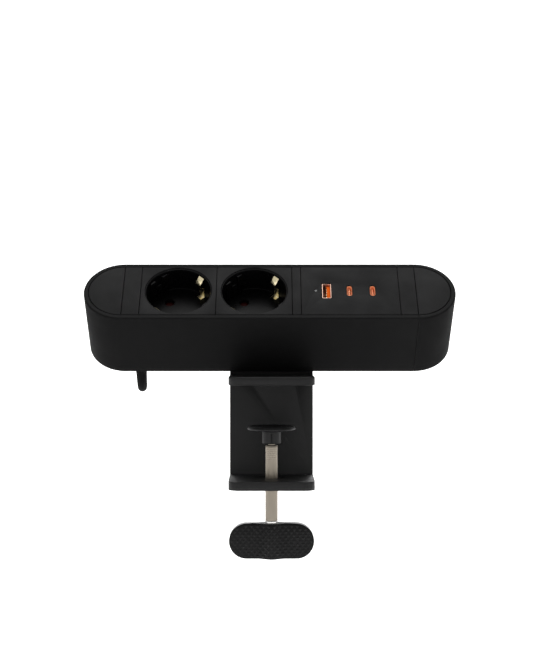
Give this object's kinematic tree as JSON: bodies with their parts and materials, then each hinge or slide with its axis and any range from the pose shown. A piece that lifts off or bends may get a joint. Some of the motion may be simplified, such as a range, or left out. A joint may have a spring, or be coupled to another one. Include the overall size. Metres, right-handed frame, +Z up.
{
  "type": "desk power strip",
  "caption": "Black desk power strip with round ends, tilted on a screw clamp, with earthed sockets and USB ports facing the user.",
  "frame": {"origin": "centre of the upper jaw pad's underside, the face that rests on the desk top", "axes": "+X to the right along the strip, +Y away from the user towards the clamp's back wall, +Z up"},
  "size_m": [0.238, 0.1353, 0.1872],
  "materials": {
    "black_plastic": "fine satin texture",
    "plate_plastic": "fine satin texture",
    "cup_plastic": "semi gloss",
    "inner_plastic": "matt",
    "brass_contact": "drawn",
    "red_plastic": "matt",
    "orange_plastic": "matt",
    "board": "lacquered",
    "transformer_tape": "tape",
    "capacitor_sleeve": "sleeve",
    "aluminium_part": "extruded",
    "clear_light_pipe": "clear",
    "wire_brown": "insulation",
    "wire_blue": "insulation",
    "wire_green": "insulation",
    "black_steel": "fine powder coat",
    "rubber_pad": "matt",
    "satin_steel": "satin",
    "cord_rubber": "matt",
    "strap_fabric": "woven",
    "bright_steel": "bright"
  },
  "bodies": {
    "strip": {"housing": "black_plastic", "end_cap_right": "black_plastic", "end_cap_screws": "bright_steel", "end_plate_left": "plate_plastic", "end_plate_right": "plate_plastic", "blank_strip_left": "plate_plastic", "blank_strip_right": "plate_plastic", "socket_plate_left": "plate_plastic", "socket_plate_right": "plate_plastic", "filler_strip": "plate_plastic", "usb_plate": "plate_plastic", "socket_cup_left": "cup_plastic", "socket_cup_right": "cup_plastic", "socket_base_left": "inner_plastic", "socket_base_right": "inner_plastic", "earth_spring_left": "brass_contact", "earth_spring_right": "brass_contact", "live_contacts": "brass_contact", "neutral_contacts": "brass_contact", "earth_busbar": "brass_contact", "shutter_springs": "bright_steel", "usb_a_shell": "bright_steel", "usb_a_tongue": "orange_plastic", "usb_c_shells": "bright_steel", "usb_c_tongues": "orange_plastic", "usb_board": "board", "power_board": "board", "transformer": "transformer_tape", "capacitors": "capacitor_sleeve", "heat_sink": "aluminium_part", "status_light_pipe": "clear_light_pipe", "terminal_block": "inner_plastic", "wire_live": "wire_brown", "wire_neutral": "wire_blue", "wire_earth": "wire_green", "strain_relief": "black_plastic", "cord_clamp": "black_plastic", "cord_clamp_screws": "bright_steel", "clamp_bracket": "black_steel", "bracket_screws": "bright_steel", "upper_jaw": "black_steel", "upper_jaw_pad": "rubber_pad", "jaw_rivets": "bright_steel", "spindle_nut": "satin_steel", "cord_lead": "cord_rubber", "cord_hank": "cord_rubber", "cord_tail": "cord_rubber", "cord_strap": "strap_fabric", "plug_body": "black_plastic", "plug_pins": "bright_steel", "plug_earth": "bright_steel"},
    "pad_carrier": {"ball_seat": "inner_plastic"},
    "screw": {"spindle": "satin_steel", "spindle_collar": "bright_steel", "knob": "black_plastic", "knob_pin": "bright_steel"},
    "pad": {"pad_disc": "black_steel", "pad_rubber": "rubber_pad"},
    "shutter_disc_left": {"shutter_left": "red_plastic"},
    "shutter_disc_right": {"shutter_right": "red_plastic"}
  },
  "joints": [
    {"name": "spindle_travel", "type": "slide", "parent": "strip", "child": "pad_carrier", "axis": [0, 0, 1], "range_m": [-0.0205, 0.02]},
    {"name": "knob_turn", "type": "hinge", "parent": "pad_carrier", "child": "screw", "pos_m": [0, 0, -0.033], "axis": [0, 0, 1], "range_deg": [-5905, 5761]},
    {"name": "pad_tilt", "type": "hinge", "parent": "pad_carrier", "child": "pad", "pos_m": [0, 0, -0.033], "axis": [1, 0, 0], "range_deg": [-8, 8]},
    {"name": "shutter_left_turn", "type": "hinge", "parent": "strip", "child": "shutter_disc_left", "pos_m": [-0.0596, 0.02235, 0.04495], "axis": [0, -0.7071, 0.7071], "range_deg": [0, 40], "stiffness_Nm_per_rad": 0.01},
    {"name": "shutter_right_turn", "type": "hinge", "parent": "strip", "child": "shutter_disc_right", "pos_m": [-0.011, 0.02235, 0.04495], "axis": [0, -0.7071, 0.7071], "range_deg": [0, 40], "stiffness_Nm_per_rad": 0.01}
  ],
  "couplings": [
    {"joint": "knob_turn", "follows": "spindle_travel", "rad_per_m": 5026.5}
  ]
}
